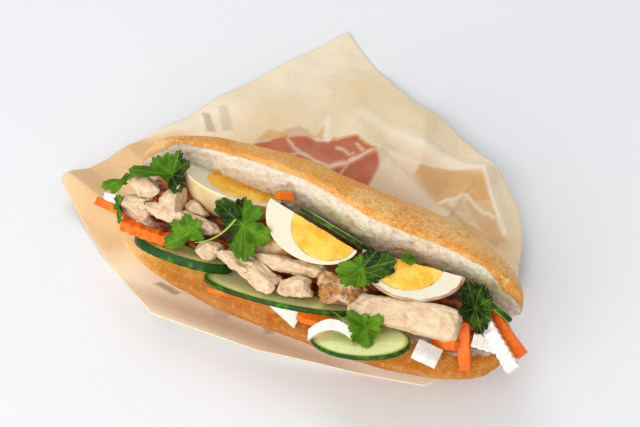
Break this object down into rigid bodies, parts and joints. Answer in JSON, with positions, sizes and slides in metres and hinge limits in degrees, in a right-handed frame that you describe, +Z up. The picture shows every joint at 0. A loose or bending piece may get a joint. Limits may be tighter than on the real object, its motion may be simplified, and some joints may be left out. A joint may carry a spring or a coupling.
{
  "type": "banh mi sandwich",
  "caption": "Filled baguette lying open in a sheet of deli paper, with egg, chicken, cucumber, pickled vegetables and herbs.",
  "frame": {"origin": "on the table under the middle of the loaf, on the paper's flat underside", "axes": "+X along the loaf, +Y to the back of it, away from the open mouth, +Z up"},
  "size_m": [0.3077, 0.2679, 0.0909],
  "materials": {
    "crust": "baked golden crust over a pale open crumb",
    "paper": "thin tan greaseproof paper with a dusty red printed field",
    "egg_white": "smooth boiled egg white, browned outside",
    "egg_yolk": "crumbly cooked yolk",
    "cucumber": "wet pale flesh with dark green skin",
    "carrot": "moist pickled carrot",
    "radish": "moist, slightly clear white radish",
    "chicken": "pale cooked meat with browned spots",
    "herb": "fresh green leaf",
    "pickles": "moist mixed shreds"
  },
  "bodies": {
    "root": {"bread": "crust", "carrot_crinkle_left": "carrot", "carrot_stick_back": "carrot", "carrot_stick_hanging": "carrot", "carrot_stick_left_end": "carrot", "carrot_stick_right_end": "carrot", "carrot_stick_small_right": "carrot", "carrot_stick_under_left": "carrot", "carrot_stick_under_right": "carrot", "chicken_bit_left": "chicken", "chicken_cube_left": "chicken", "chicken_cube_middle": "chicken", "chicken_dark_middle": "chicken", "chicken_lump_front": "chicken", "chicken_lump_left": "chicken", "chicken_lump_middle": "chicken", "chicken_slab_right": "chicken", "chicken_strip_back": "chicken", "chicken_strip_left": "chicken", "chicken_strip_middle": "chicken", "chicken_wedge_left": "chicken", "coriander_leaf_back": "herb", "coriander_leaf_front": "herb", "coriander_leaf_left": "herb", "coriander_leaf_left_end": "herb", "coriander_leaf_middle": "herb", "coriander_leaf_middle_left": "herb", "coriander_leaf_right": "herb", "coriander_leaf_right_end": "herb", "coriander_leaf_small_left": "herb", "coriander_stem_front": "herb", "coriander_stem_middle": "herb", "cucumber_slice_back": "cucumber", "cucumber_slice_left": "cucumber", "cucumber_slice_middle": "cucumber", "cucumber_slice_right": "cucumber", "cucumber_slice_right_end": "cucumber", "egg_left_white": "egg_white", "egg_left_yolk": "egg_yolk", "egg_middle_white": "egg_white", "egg_middle_yolk": "egg_yolk", "egg_right_white": "egg_white", "egg_right_yolk": "egg_yolk", "paper_wrap": "paper", "pickled_vegetables": "pickles", "radish_cube_right": "radish", "radish_curl_middle": "radish", "radish_shard_middle": "radish", "radish_stick_left_end": "radish", "radish_stick_right_end": "radish", "radish_stick_right_inner": "radish"}
  },
  "joints": []
}
